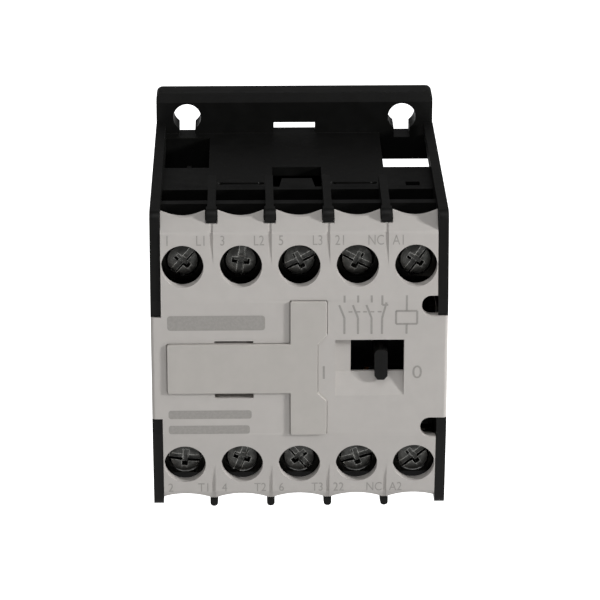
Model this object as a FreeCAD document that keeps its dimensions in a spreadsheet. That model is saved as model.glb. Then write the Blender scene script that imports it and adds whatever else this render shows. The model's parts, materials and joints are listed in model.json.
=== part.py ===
import FreeCAD, Part
import math
import os
import Sketcher

# Industrial control relay: a four-pole contactor relay with a coil, 45 mm wide, for a panel or a 35 mm rail.
# Axes: X to the right, Y from the front to the rear, Z up. Origin: centre of the rear mounting plane.
# Depths that start with "d_" are measured back from the flat front of the cover.

SIZES = {
    # whole device
    "width": 45.0,
    "height": 58.0,
    "cover_front": 51.6,
    "pitch": 8.8,
    "wall": 1.5,
    "gap": 0.1,
    # rear plate with its flanges, screw holes and rail channel
    "plate_depth": 4.5,
    "plate_corner": 1.0,
    "lip_height": 1.5,
    "lip_depth": 0.6,
    "hole_spacing_x": 35.0,
    "hole_spacing_z": 50.0,
    "hole_radius": 2.25,
    "key_width": 2.6,
    "key_drop": 3.5,
    "hanger_half_width": 3.4,
    "hanger_low": 22.3,
    "hanger_high": 24.1,
    "hanger_relief": 1.5,
    "rail_half_height": 17.7,
    "rail_floor": 5.5,
    "hook_reach": 1.4,
    "hook_half_width": 13.7,
    "lip_space": 1.3,
    # housing shells
    "body_split": 31.6,
    "deck_half_height": 22.3,
    "wall_half_height": 24.3,
    "wall_foot": 23.7,
    "front_corner": 1.3,
    "divider": 1.2,
    "bulb": 1.6,
    "d_chamber_wall": 18.6,
    "d_skirt": 12.0,
    "band_half_height": 8.3,
    "pocket_inner": 13.8,
    "pocket_floor": 16.0,
    "pocket_depth": 17.7,
    "thin_wall": 0.45,
    "latch_half_width": 3.85,
    "latch_back": 22.0,
    "tongue_back": 27.0,
    "vent_back": 29.5,
    "vent_half_width": 3.1,
    "shelf_low": 13.8,
    "shelf_high": 19.6,
    "d_shelf": 7.1,
    "shelf_depth": 3.4,
    "funnel_high": 22.9,
    "funnel_thickness": 1.4,
    # front cover section
    "slope_start": 10.9,
    "slope_end": 21.3,
    "d_slope_end": 1.55,
    "upper_end": 23.78,
    "d_upper_end": 4.83,
    "lower_end": 22.9,
    "d_lower_end": 2.9,
    "shell": 1.6,
    "zone_half_width": 20.9,
    "screw_z": 16.2,
    "screw_hole_radius": 3.2,
    "upper_scallop_radius": 7.84,
    "upper_scallop_depth": 0.8,
    "lower_scallop_radius": 7.84,
    "lower_scallop_depth": 1.35,
    "notch_width": 1.9,
    "notch_low": 22.3,
    "d_toe": 2.95,
    "groove_width": 0.5,
    "groove_low": 16.4,
    "accessory_notch_left": 18.5,
    "accessory_notch_high": 11.6,
    "nub_window_front": 8.0,
    "nub_window_back": 10.0,
    "nub_window_low": 4.6,
    "nub_window_high": 6.8,
    "label_recess": 0.5,
    # marker plate
    "marker_thickness": 0.85,
    "bar_left": 20.1,
    "bar_half_height": 4.0,
    "post_left": 1.4,
    "post_right": 4.15,
    "post_half_height": 10.9,
    "waist_right": 2.75,
    # indicator window
    "window_left": 5.45,
    "window_right": 15.9,
    "window_top": 4.55,
    "window_bottom": 4.6,
    "opening_left": 7.8,
    "opening_bottom": 1.0,
    "ramp_depth": 1.1,
    # contact carrier and bridges
    "travel": 2.8,
    "over_travel": 0.9,
    "contact_gap": 1.92,
    "touch_gap": 0.02,
    "bar_half_z": 3.3,
    "d_bar_front": 8.5,
    "d_bar_back": 16.0,
    "d_window_front": 10.0,
    "d_window_back": 14.5,
    "d_bridge_front": 10.5,
    "bridge_width": 3.5,
    "bridge_half_length": 6.8,
    "bridge_thickness": 0.7,
    "tip_thickness": 0.4,
    "tip_radius": 1.1,
    "tip_z": 5.6,
    "strip": 0.6,
    "no_leg": 2.05,
    "nc_leg": 2.95,
    "spring_room": 3.3,
    "neck_left": 17.5,
    "neck_right": 19.5,
    "neck_half_z": 9.0,
    "ear_inner": 11.2,
    "ear_outer": 12.8,
    "ear_left": 12.3,
    "lug_outer": 14.6,
    "lug_thickness": 1.5,
    "tab_left": 11.4,
    "tab_right": 13.4,
    "tab_low": 0.85,
    "tab_high": 2.9,
    "tab_nose_low": 2.0,
    "d_tab_nose": 0.35,
    # magnet and coil
    "magnet_y": 19.0,
    "core_half_width": 5.0,
    "core_left": 17.0,
    "core_yoke": 5.8,
    "core_face": 1.5,
    "leg_inner": 8.0,
    "leg_outer": 11.0,
    "centre_leg": 3.0,
    "pole_gap": 0.02,
    "armature_inner": 12.3,
    "armature_right": 17.3,
    "pin_x": 15.0,
    "pin_radius": 1.0,
    "bobbin_left": 11.0,
    "bobbin_right": 9.0,
    "flange": 1.0,
    "tube_wall": 0.6,
    "flange_half_z": 7.3,
    "flange_half_y": 9.4,
    "winding_half_z": 7.0,
    "winding_half_y": 9.0,
    "tape": 0.2,
    "ring_section": 0.5,
    "ring_depth": 0.8,
    "cushion_thickness": 1.2,
    "spring_z": 13.1,
    "spring_seat": 2.9,
    "return_coil_radius": 1.3,
    "return_wire_radius": 0.25,
    "contact_wire_radius": 0.22,
    "spring_play": 0.12,
    # terminals
    "d_strip": 6.25,
    "platform_thickness": 0.8,
    "platform_half_width": 3.1,
    "platform_high": 19.9,
    "platform_low": 12.9,
    "d_screw_head": 3.4,
    "head_radius": 2.6,
    "head_height": 1.8,
    "shank_radius": 1.7,
    "shank_length": 5.0,
    "bore_radius": 1.85,
    "clamp_half_width": 3.2,
    "clamp_half_height": 3.4,
    "clamp_thickness": 1.0,
    # rail clip
    "clip_half_width": 6.0,
    "clip_thickness": 1.8,
    "clip_front": 3.2,
    "clip_low": 28.6,
    "clip_nose_high": 16.2,
    "clip_travel": 2.5,
    "clip_window_low": 25.5,
    "clip_window_high": 18.9,
    "clip_window_half_width": 1.7,
    "clip_spring_radius": 0.7,
    "clip_wire_radius": 0.18,
    "clip_post_height": 0.9,
    "clip_play": 0.15,
}


class Size:
    """A length that keeps its number together with the sheet expression that gives it."""

    def __init__(self, number, text):
        self.number = number
        self.text = text

    def __add__(self, other):
        other = as_size(other)
        return Size(self.number + other.number, f"({self.text} + {other.text})")

    def __sub__(self, other):
        other = as_size(other)
        return Size(self.number - other.number, f"({self.text} - {other.text})")

    def __mul__(self, factor):
        return Size(self.number * factor, f"({self.text} * {factor})")

    def __truediv__(self, factor):
        return Size(self.number / factor, f"({self.text} / {factor})")

    def __neg__(self):
        return Size(-self.number, f"(0 - {self.text})")

    def __radd__(self, other):
        return as_size(other) + self

    def __rsub__(self, other):
        return as_size(other) - self

    def __rmul__(self, factor):
        return self * factor


def as_size(value):
    """Wrap a plain number, so that numbers and sheet sizes mix freely."""
    if isinstance(value, Size):
        return value
    return Size(float(value), f"({float(value)})")


class Sheet:
    """Driving dimensions, read as D.name."""


doc = FreeCAD.newDocument("control_relay")
D = Sheet()


def fill_sheet():
    """Put the driving dimensions into the spreadsheet and give each its alias."""
    sheet = doc.addObject("Spreadsheet::Sheet", "Dims")
    for row, (alias, number) in enumerate(SIZES.items(), start=1):
        sheet.set(f"A{row}", alias)
        sheet.set(f"B{row}", str(number))
        sheet.setAlias(f"B{row}", alias)
        setattr(D, alias, Size(number, f"Dims.{alias}"))
    doc.recompute()


def bind(item, path, size):
    """Tie one property of an object to the sheet."""
    item.setExpression(path, as_size(size).text)


def at(depth):
    """Y of a plane that lies this far behind the flat front of the cover."""
    return depth - D.cover_front


def ordered(pair):
    """The pair with its lower value first."""
    low, high = as_size(pair[0]), as_size(pair[1])
    return (low, high) if low.number <= high.number else (high, low)


# ---------------------------------------------------------------- sketches

def locate(sketch, geometry, point, x, y):
    """Fix a sketch point by its two bound distances from the sketch's origin."""
    for kind, size in (("DistanceX", as_size(x)), ("DistanceY", as_size(y))):
        index = sketch.addConstraint(Sketcher.Constraint(kind, -1, 1, geometry, point, size.number))
        sketch.setExpression(f"Constraints[{index}]", size.text)


def add_radius(sketch, geometry, radius):
    index = sketch.addConstraint(Sketcher.Constraint("Radius", geometry, as_size(radius).number))
    sketch.setExpression(f"Constraints[{index}]", as_size(radius).text)


def circle(x, y, radius):
    """A loop for draw(): one circle."""
    return {"x": as_size(x), "y": as_size(y), "radius": as_size(radius)}


def rectangle(across, up):
    """A loop for draw(): the four corners of a rectangle."""
    left, right = ordered(across)
    low, high = ordered(up)
    return [(left, low), (right, low), (right, high), (left, high)]


def mirrored_up(half):
    """Close an outline that is symmetric about its horizontal axis, given its upper half."""
    return half + [(corner[0], -as_size(corner[1]), *corner[2:]) for corner in reversed(half)]


def add_circle(sketch, loop):
    centre = FreeCAD.Vector(loop["x"].number, loop["y"].number, 0)
    normal = FreeCAD.Vector(0, 0, 1)
    geometry = sketch.addGeometry(Part.Circle(centre, normal, loop["radius"].number), False)
    locate(sketch, geometry, 3, loop["x"], loop["y"])
    add_radius(sketch, geometry, loop["radius"])


def rounding_cuts(corners, points):
    """How far each corner's rounding trims its two sides; zero at a sharp corner."""
    cuts = []
    for i, corner in enumerate(corners):
        if len(corner) == 2:
            cuts.append(0.0)
            continue
        before = points[i - 1] - points[i]
        after = points[(i + 1) % len(points)] - points[i]
        cuts.append(corner[2].number / math.tan(before.getAngle(after) / 2))
    return cuts


def add_rounding(sketch, corner, point, line_in, line_out, into, out_of, cut):
    """Round one corner with an arc tangent to both sides; the bound corner point stays as a helper."""
    radius = corner[2].number
    turn = into.cross(out_of).z
    inward = FreeCAD.Vector(-into.y, into.x, 0) * (1 if turn > 0 else -1)
    start = point - into * cut
    end = point + out_of * cut
    centre = start + inward * radius
    first, last = (start, end) if turn > 0 else (end, start)
    angles = [math.atan2(p.y - centre.y, p.x - centre.x) for p in (first, last)]
    full = Part.Circle(centre, FreeCAD.Vector(0, 0, 1), radius)
    arc = sketch.addGeometry(Part.ArcOfCircle(full, angles[0], angles[1]), False)
    arc_in, arc_out = (1, 2) if turn > 0 else (2, 1)
    helper = sketch.addGeometry(Part.Point(point), True)
    locate(sketch, helper, 1, corner[0], corner[1])
    sketch.addConstraint(Sketcher.Constraint("PointOnObject", helper, 1, line_in))
    sketch.addConstraint(Sketcher.Constraint("PointOnObject", helper, 1, line_out))
    sketch.addConstraint(Sketcher.Constraint("Tangent", line_in, 2, arc, arc_in))
    sketch.addConstraint(Sketcher.Constraint("Tangent", arc, arc_out, line_out, 1))
    add_radius(sketch, arc, corner[2])


def add_outline(sketch, corners):
    """Draw a closed outline of corners (x, y) or (x, y, rounding radius)."""
    corners = [tuple(as_size(value) for value in corner) for corner in corners]
    points = [FreeCAD.Vector(corner[0].number, corner[1].number, 0) for corner in corners]
    count = len(corners)
    cuts = rounding_cuts(corners, points)
    along = [(points[(i + 1) % count] - points[i]).normalize() for i in range(count)]
    lines = []
    for i in range(count):
        start = points[i] + along[i] * cuts[i]
        end = points[(i + 1) % count] - along[i] * cuts[(i + 1) % count]
        lines.append(sketch.addGeometry(Part.LineSegment(start, end), False))
    for i in range(count):
        line_in, line_out = lines[i - 1], lines[i]
        if cuts[i]:
            add_rounding(sketch, corners[i], points[i], line_in, line_out, along[i - 1], along[i], cuts[i])
        else:
            sketch.addConstraint(Sketcher.Constraint("Coincident", line_in, 2, line_out, 1))
            locate(sketch, line_out, 1, corners[i][0], corners[i][1])


def draw(body, plane, offset, loops):
    """A sketch on one of the body's own planes, offset along that plane's normal."""
    sketch = body.newObject("Sketcher::SketchObject", f"{body.Label}_sketch")
    role = f"{plane}_Plane"
    support = next(item for item in body.Origin.OriginFeatures if item.Role == role)
    sketch.AttachmentSupport = [(support, "")]
    sketch.MapMode = "FlatFace"
    bind(sketch, "AttachmentOffset.Base.z", offset)
    for loop in loops:
        if isinstance(loop, dict):
            add_circle(sketch, loop)
        else:
            add_outline(sketch, loop)
    return sketch


# ---------------------------------------------------------------- features

def new_body(label):
    body = doc.addObject("PartDesign::Body", label)
    body.Label = label
    body.AllowCompound = True
    return body


def along_normal(plane, span):
    """A span of X, Y or Z as a span along the plane's normal: the XZ plane's normal points to -Y."""
    low, high = ordered(span)
    return (-high, -low) if plane == "XZ" else (low, high)


def pad(body, plane, span, loops):
    """Add material between two positions along the plane's normal."""
    start, end = along_normal(plane, span)
    feature = body.newObject("PartDesign::Pad", f"{body.Label}_pad")
    feature.Profile = draw(body, plane, start, loops)
    bind(feature, "Length", end - start)
    body.Tip = feature
    return feature


def pocket(body, plane, span, loops):
    """Remove material between two positions along the plane's normal."""
    start, end = along_normal(plane, span)
    feature = body.newObject("PartDesign::Pocket", f"{body.Label}_pocket")
    feature.Profile = draw(body, plane, end, loops)
    bind(feature, "Length", end - start)
    body.Tip = feature
    return feature


def repeat(body, feature, plane, step, count):
    """Repeat a feature along X at an even step, and make that the body's result."""
    pattern = body.newObject("PartDesign::LinearPattern", f"{body.Label}_row")
    pattern.Originals = [feature]
    pattern.Direction = (feature.Profile[0], ["H_Axis"])
    bind(pattern, "Length", step * (count - 1))
    pattern.Occurrences = count
    body.Tip = pattern
    return pattern


def block(body, across, deep, up):
    """Add a rectangular block."""
    return pad(body, "XZ", deep, [rectangle(across, up)])


def slot(body, across, deep, up):
    """Cut a rectangular block away."""
    return pocket(body, "XZ", deep, [rectangle(across, up)])


def place(body, x, y, z, rotation=None):
    """Put a finished body in place."""
    if rotation:
        body.Placement = FreeCAD.Placement(FreeCAD.Vector(0, 0, 0), rotation)
    bind(body, "Placement.Base.x", x)
    bind(body, "Placement.Base.y", y)
    bind(body, "Placement.Base.z", z)


def coil_spring(label, length, radius, wire_radius, turns):
    """A round-wire compression spring that stands on the origin along +Z."""
    body = new_body(label)
    section = draw(body, "XZ", 0, [circle(radius, wire_radius, wire_radius)])
    helix = body.newObject("PartDesign::AdditiveHelix", f"{label}_helix")
    helix.Profile = section
    helix.ReferenceAxis = (section, ["V_Axis"])
    helix.Mode = "height-turns-growth"
    bind(helix, "Height", length - 2 * wire_radius)
    helix.Turns = turns
    helix.Growth = 0
    body.Tip = helix
    return body


# ---------------------------------------------------------------- shared outlines and places

SIDES = (1, -1)


def column(index):
    """X of a terminal column, counted from the left."""
    return D.pitch * (index - 2)


def divider_x(index):
    """X of a divider between two columns, counted from the left."""
    return D.pitch * (index - 1.5)


def inner_half():
    """Half the clear width between the side walls."""
    return D.width / 2 - D.wall


def tee_outline(clearance):
    """The T shape of the marker plate, grown by a clearance, in X and Z."""
    left = -D.bar_left - clearance
    shoulder = -D.post_left - clearance
    right = D.post_right + clearance
    waist = D.waist_right + clearance
    bar = D.bar_half_height + clearance
    post = D.post_half_height + clearance
    slant = bar + D.post_right - D.waist_right
    rounding = 0.3
    return mirrored_up([
        (left, bar, rounding), (shoulder, bar), (shoulder, post, rounding),
        (right, post, rounding), (right, slant), (waist, bar),
    ])


def magnet_outline(face, yoke_near, yoke_far):
    """An E-shaped lamination in X and Z, from its pole faces to the back of its yoke."""
    return mirrored_up([
        (face, D.centre_leg), (yoke_near, D.centre_leg), (yoke_near, D.leg_inner),
        (face, D.leg_inner), (face, D.leg_outer), (yoke_far, D.leg_outer),
    ])


def magnet_span(half_width):
    """A Y span centred on the magnet."""
    return (-D.magnet_y - half_width, -D.magnet_y + half_width)


# ---------------------------------------------------------------- housings

def add_flange(body, side):
    """One screw flange of the rear plate, with a sloping lip along its outer front edge."""
    half = D.width / 2
    outer = side * (D.height / 2)
    inner = side * D.rail_half_height
    deck = side * D.deck_half_height
    pad(body, "XZ", (-D.plate_depth, 0), [[
        (-half, inner), (half, inner), (half, outer, D.plate_corner), (-half, outer, D.plate_corner),
    ]])
    block(body, (-half, half), (-D.rail_floor, -D.plate_depth), (inner, deck))
    beyond = 1.0
    slope = D.lip_depth.number / D.lip_height.number
    pocket(body, "YZ", (-half, half), [[
        (-D.plate_depth - slope * beyond, outer - side * (D.lip_height + beyond)),
        (-D.plate_depth + D.lip_depth + slope * beyond, outer + side * beyond),
        (-D.plate_depth - slope * beyond, outer + side * beyond),
    ]])


def add_corner_pockets(body):
    """Four deep pockets beside the rail channel; only the upper right one opens into the channel."""
    for side in SIDES:
        for end in SIDES:
            outer = end * inner_half()
            inner = end * (D.pocket_inner - D.divider)
            rear = -D.plate_depth
            front = rear - D.pocket_depth
            floor = side * (D.pocket_floor - D.divider)
            block(body, (inner, outer), (front - D.divider, -D.rail_floor - 0.5),
                  (floor, side * D.deck_half_height))
    for side in SIDES:
        for end in SIDES:
            is_open = side > 0 and end > 0
            back = -D.plate_depth if is_open else -D.rail_floor - D.wall
            slot(body, (end * D.pocket_inner, end * inner_half()),
                 (-D.plate_depth - D.pocket_depth, back),
                 (side * D.pocket_floor, side * (D.wall_half_height + 1)))
    slot(body, (inner_half() - 0.1, D.width / 2 - D.thin_wall),
         (-D.plate_depth - D.pocket_depth, -D.plate_depth), (D.pocket_floor, D.deck_half_height))
    rib_front = -D.plate_depth - D.pocket_depth
    block(body, (-17.4, -16.7), (rib_front - 0.1, rib_front + 8), (D.pocket_floor - 0.1, D.pocket_floor + 4))


def cut_deck_openings(body):
    """Vents and the latch opening in the upper and lower decks."""
    for side in SIDES:
        through = (side * (D.deck_half_height - 2.0), side * (D.wall_half_height + 1))
        for x in (column(1), column(3)):
            across = (x - D.vent_half_width, x + D.vent_half_width)
            slot(body, across, (-D.vent_back - 0.9, -D.vent_back), through)
            pocket(body, "XY", through, [
                circle(across[end], -D.vent_back - 0.45, 0.6) for end in (0, 1)
            ])
        slot(body, (column(4) - 0.7, column(4) + 1.5), (-D.vent_back - 1.8, -D.vent_back), through)
        slot(body, (-D.latch_half_width, D.latch_half_width), (-D.body_split - 1, -D.latch_back), through)


def cut_mounting_holes(body):
    """Four keyhole openings, and the hanger opening in the upper flange."""
    through = (-D.rail_floor - 0.1, 1.0)
    spots = [(end * D.hole_spacing_x / 2, side * D.hole_spacing_z / 2) for end in SIDES for side in SIDES]
    pocket(body, "XZ", through, [circle(x, z, D.hole_radius) for x, z in spots])
    pocket(body, "XZ", through, [
        rectangle((x - D.key_width / 2, x + D.key_width / 2), (z - D.key_drop, z)) for x, z in spots
    ])
    slot(body, (-D.hanger_half_width, D.hanger_half_width), through, (D.hanger_low, D.hanger_high))
    slot(body, (-D.hanger_half_width, D.hanger_half_width), (-D.hanger_relief, 1.0),
         (D.hanger_low - 2, D.hanger_low + 0.1))


def cut_clip_guide(body):
    """A T-slot from the rear of the lower flange for the rail clip, with a post for its spring."""
    reach = (-D.height / 2 - 1, -D.rail_half_height + 0.5)
    play = D.clip_play
    wide = D.clip_half_width + play
    mouth = D.clip_half_width - 1.2
    front = -D.clip_front - play
    back = -D.clip_front + D.clip_thickness + play
    slot(body, (-wide, wide), (front, back), reach)
    slot(body, (-mouth, mouth), (back - 0.1, 1.0), reach)
    nose_low = -D.rail_half_height - D.clip_travel - 0.3
    slot(body, (-wide, wide), (-D.plate_depth + 0.05, front + 0.1), (nose_low, reach[1]))
    slot(body, (-D.hanger_half_width, D.hanger_half_width), (-D.plate_depth - 0.1, front + 0.1),
         (reach[0], -D.clip_low + 1.6))
    post_half = D.clip_window_half_width - 0.3
    post_low = -D.clip_window_low + play
    block(body, (-post_half, post_half), (front - 0.1, back - 2 * play),
          (post_low, post_low + D.clip_post_height))


def add_magnet_seats(body):
    """Ribs that hold the fixed core and the outer ends of the return springs."""
    floor = -D.rail_floor - D.wall + 0.1
    cushion_left = -D.core_left - D.cushion_thickness - 0.1
    block(body, (-inner_half() - 0.1, cushion_left), (-D.magnet_y - 3, floor), (-9, 9))
    block(body, (-D.core_left, -D.core_left + D.core_yoke), (-D.magnet_y + D.core_half_width + 0.1, floor),
          (-D.leg_outer, D.leg_outer))
    for side in SIDES:
        block(body, (D.spring_seat - 1, D.spring_seat), (-D.magnet_y - 2.5, floor),
              (side * (D.spring_z - 1.4), side * (D.spring_z + 1.9)))


def base_housing():
    """Rear shell: screw flanges, rail channel, and the chamber that holds the magnet and coil."""
    body = new_body("base_housing")
    half = D.width / 2
    floor = (-D.rail_floor - D.wall, -D.rail_floor)
    block(body, (-half, half), floor, (-D.deck_half_height, D.deck_half_height))
    for end in SIDES:
        block(body, (end * inner_half(), end * half), (-D.body_split, -D.rail_floor),
              (-D.wall_half_height, D.wall_half_height))
    for side in SIDES:
        block(body, (-half, half), (-D.body_split, -D.rail_floor),
              (side * (D.deck_half_height - D.wall), side * D.deck_half_height))
        add_flange(body, side)
    add_corner_pockets(body)
    cut_mounting_holes(body)
    cut_deck_openings(body)
    hook_front = -D.rail_floor + D.lip_space
    block(body, (-D.hook_half_width, D.hook_half_width), (hook_front, hook_front + 1.6),
          (D.rail_half_height - D.hook_reach, D.rail_half_height + 0.3))
    cut_clip_guide(body)
    add_magnet_seats(body)


def wall_outline():
    """Side wall of the contact housing in Y and Z: a long back part and a sloping, rounded front."""
    rear = -D.body_split - 0.05
    top = D.wall_half_height
    step = D.band_half_height + D.gap
    face = at(0.3)
    skirt = at(D.d_skirt + D.gap)
    corner = at(2.15)
    return [
        (skirt, step), (face, step), (face, D.slope_start), (corner, top, D.front_corner), (rear, top),
        (rear, -D.wall_foot), (corner, -D.wall_foot, D.front_corner), (face, -D.slope_start),
        (face, -step), (skirt, -step),
    ]


def divider_outline():
    """Divider between two columns: it follows the inside of the cover, and ends above in an upright toe."""
    rear = -D.body_split - 0.3
    top = D.wall_half_height
    toe = D.notch_low + 0.12
    inside = D.slope_end - 0.7
    return [
        (rear, -top), (at(D.d_toe + 1.6), -top), (at(D.d_toe + 1.6), -D.lower_end + 0.9),
        (at(3.5), -inside), (at(1.9), -D.slope_start), (at(1.9), D.slope_start), (at(3.5), inside),
        (at(5.6), toe), (at(D.d_toe), toe), (at(D.d_toe), top, 1.2), (rear, top),
    ]


def upper_toe_outline():
    """The thicker toe at the upper front of a divider, in a notch of the cover."""
    toe = D.notch_low + 0.12
    top = D.wall_half_height
    back = D.d_toe + 2.1
    return [(at(D.d_toe), toe), (at(back), toe), (at(back), top), (at(D.d_toe), top, 1.2)]


def add_dividers(body):
    """Four dividers, each with a thick toe above and a round toe that stands below the cover's edge."""
    for index in range(4):
        x = divider_x(index)
        pad(body, "YZ", (x - D.divider / 2, x + D.divider / 2), [divider_outline()])
        pad(body, "YZ", (x - D.bulb / 2, x + D.bulb / 2), [upper_toe_outline()])
        pad(body, "XZ", (at(D.d_toe + 0.1), at(D.d_toe + 1.7)), [[
            (x - D.divider / 2, -D.lower_end - 0.12), (x - D.divider / 2, -D.wall_half_height, 0.55),
            (x + D.divider / 2, -D.wall_half_height, 0.55), (x + D.divider / 2, -D.lower_end - 0.12),
        ]])


def add_terminal_shelves(body):
    """A shelf under each row of terminal plates, with an upright wall behind the wire funnels."""
    inner = inner_half()
    for side in SIDES:
        block(body, (-inner, inner), (at(D.d_shelf), at(D.d_shelf + D.shelf_depth)),
              (side * D.shelf_low, side * D.shelf_high))
        back = D.d_shelf + D.shelf_depth
        block(body, (-inner, inner), (at(back - 0.2), at(back + D.funnel_thickness)),
              (side * (D.shelf_high - 1), side * D.funnel_high))
    bores = pocket(body, "XZ", (at(D.d_shelf - 1), at(D.d_shelf + D.shelf_depth + 1)), [
        circle(column(0), side * D.screw_z, D.bore_radius + 0.25) for side in SIDES
    ])
    repeat(body, bores, "XZ", D.pitch, 5)


def contact_housing():
    """Front shell: column dividers, terminal shelves, wire chambers and the guide for the carrier."""
    body = new_body("contact_housing")
    half = D.width / 2
    inner = inner_half()
    rear = -D.body_split - 0.05
    block(body, (-inner, inner), (at(D.d_chamber_wall), rear), (-D.deck_half_height, D.deck_half_height))
    for end in SIDES:
        pad(body, "YZ", (end * (inner - 0.01), end * half), [wall_outline()])
    add_dividers(body)
    add_terminal_shelves(body)
    cut_carrier_way(body)
    add_snap_tongues(body)


def cut_carrier_way(body):
    """Passages for the carrier's bar, its tab and its neck, and for the two coil terminals."""
    play = 0.6
    bar = D.bar_half_z + play
    slot(body, (divider_x(0) - 1, divider_x(3) + 1), (at(D.d_bar_front - play), at(D.d_bar_back + play)),
         (-bar, bar))
    slot(body, (divider_x(3) - 1, divider_x(3) + 1), (at(0), at(D.d_bar_front)),
         (-D.window_bottom - play, D.window_top + play))
    wall = (at(D.d_chamber_wall - 0.5), -D.body_split + 1)
    neck = D.neck_half_z + play
    slot(body, (D.neck_left - D.travel - play, D.neck_right + play), wall, (-neck, neck))
    for side in SIDES:
        strip = (side * (D.platform_low - 0.1), side * (D.platform_low + 1.1))
        slot(body, (column(4) - 3.2, column(4) - 0.8), wall, strip)


def add_snap_tongues(body):
    """Four tongues with nubs for the cover's skirt windows, and two that enter the rear shell's decks."""
    play = 0.1
    narrow = 0.9
    depth = (at(7.0), at(D.d_skirt + 1))
    for end in SIDES:
        inside = end * (inner_half() - D.gap)
        for side in SIDES:
            up = (side * (D.nub_window_low - 0.7), side * (D.nub_window_high + 0.6))
            block(body, (inside - end * narrow, inside), depth, up)
            block(body, (inside - end * narrow, inside + end), (at(D.d_skirt + D.gap), depth[1]), up)
            nub = (side * (D.nub_window_low + play), side * (D.nub_window_high - play))
            pad(body, "XY", nub, [[
                (inside - end * 0.2, at(D.nub_window_front + play)),
                (inside + end * 0.2, at(D.nub_window_front + play)), (inside + end, at(9.2)),
                (inside + end, at(D.nub_window_back - play)),
                (inside - end * 0.2, at(D.nub_window_back - play)),
            ]])
    for side in SIDES:
        pad(body, "XY", (side * (D.deck_half_height - 1.3), side * (D.deck_half_height - 0.2)), [[
            (-D.latch_half_width + 1, -D.body_split - 0.1), (D.latch_half_width - 1, -D.body_split - 0.1),
            (D.latch_half_width - 1.5, -D.tongue_back), (-D.latch_half_width + 1.5, -D.tongue_back),
        ]])


def cover_outline():
    """Section of the front cover in Y and Z: flat centre, sloping terminal zones and bevelled edges."""
    shell = D.shell
    return [
        (at(shell), D.slope_start), (at(D.d_slope_end + shell), D.slope_end - 0.7),
        (at(D.d_upper_end + 0.35), D.upper_end - 0.35), (at(D.d_upper_end + 0.3), D.upper_end, 0.12),
        (at(D.d_upper_end), D.upper_end, 0.12), (at(D.d_slope_end), D.slope_end, 0.8),
        (at(0), D.slope_start, 6), (at(0), -D.slope_start, 6), (at(D.d_slope_end), -D.slope_end, 0.8),
        (at(D.d_lower_end), -D.lower_end, 0.12), (at(D.d_lower_end + 0.35), -D.lower_end, 0.25),
        (at(D.d_lower_end + 1.2), -D.lower_end + 1.1), (at(D.d_slope_end + shell), -D.slope_end + 0.7),
        (at(shell), -D.slope_start),
    ]


def cut_cover_front(body):
    """The marker recess, the indicator window, latch notches and grooves in the cover's front."""
    outside = at(-1)
    pocket(body, "XZ", (outside, at(D.label_recess)), [tee_outline(D.gap)])
    for low, high in ((-0.9, 0), (2 * D.bar_half_height, 2 * D.bar_half_height + 0.45)):
        slot(body, (-12.9, -7.0), (outside, at(1.4)), (low - D.bar_half_height, high - D.bar_half_height))
    pocket(body, "YZ", (D.window_left, D.window_right), [[
        (outside, -D.window_bottom), (at(0), -D.window_bottom), (at(D.ramp_depth), -D.opening_bottom),
        (at(D.ramp_depth), D.window_top), (outside, D.window_top),
    ]])
    slot(body, (D.opening_left, D.window_right), (outside, at(3)), (-D.opening_bottom, D.window_top))
    for side in SIDES:
        low, high = side * D.band_half_height, side * D.accessory_notch_high
        right = D.zone_half_width + 2
        pocket(body, "XZ", (outside, at(4)), [[
            (D.accessory_notch_left, low, 1.4), (right, low), (right, high),
            (D.accessory_notch_left, high, 1.4),
        ]])


def cut_grooves(body):
    """Shallow grooves between the columns that fade out towards the middle of the cover."""
    depth = 0.28
    rise = (D.slope_end - D.groove_low) / (D.slope_end - D.slope_start).number
    fade = at(D.d_slope_end * (1 - rise.number))
    for index in range(4):
        middle = divider_x(index)
        across = (middle - D.groove_width / 2, middle + D.groove_width / 2)
        pocket(body, "YZ", across, [[
            (at(-1), D.groove_low), (fade, D.groove_low), (at(D.d_slope_end + depth), D.slope_end),
            (at(D.d_slope_end + 1.35 + depth), D.notch_low + 0.05), (at(-1), D.notch_low + 0.05),
        ]])
        pocket(body, "YZ", across, [[
            (at(-1), -D.groove_low), (fade, -D.groove_low), (at(D.d_slope_end + depth), -D.slope_end),
            (at(D.d_lower_end + depth), -D.lower_end - 0.1), (at(-1), -D.lower_end - 0.1),
        ]])


def cut_terminal_row(body):
    """Screw holes and scalloped edges, five of each above and below, and the notches above."""
    through = (at(-1), at(8))
    upper_z = D.upper_end + D.upper_scallop_radius - D.upper_scallop_depth
    lower_z = -D.lower_end - D.lower_scallop_radius + D.lower_scallop_depth
    x = column(0)
    holes = pocket(body, "XZ", through, [
        circle(x, D.screw_z, D.screw_hole_radius), circle(x, -D.screw_z, D.screw_hole_radius),
        circle(x, upper_z, D.upper_scallop_radius), circle(x, lower_z, D.lower_scallop_radius),
    ])
    repeat(body, holes, "XZ", D.pitch, 5)
    x = divider_x(0)
    notches = pocket(body, "XZ", through, [
        rectangle((x - D.notch_width / 2, x + D.notch_width / 2), (D.notch_low, D.upper_end + 1))
    ])
    repeat(body, notches, "XZ", D.pitch, 4)
    cut_grooves(body)


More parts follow.
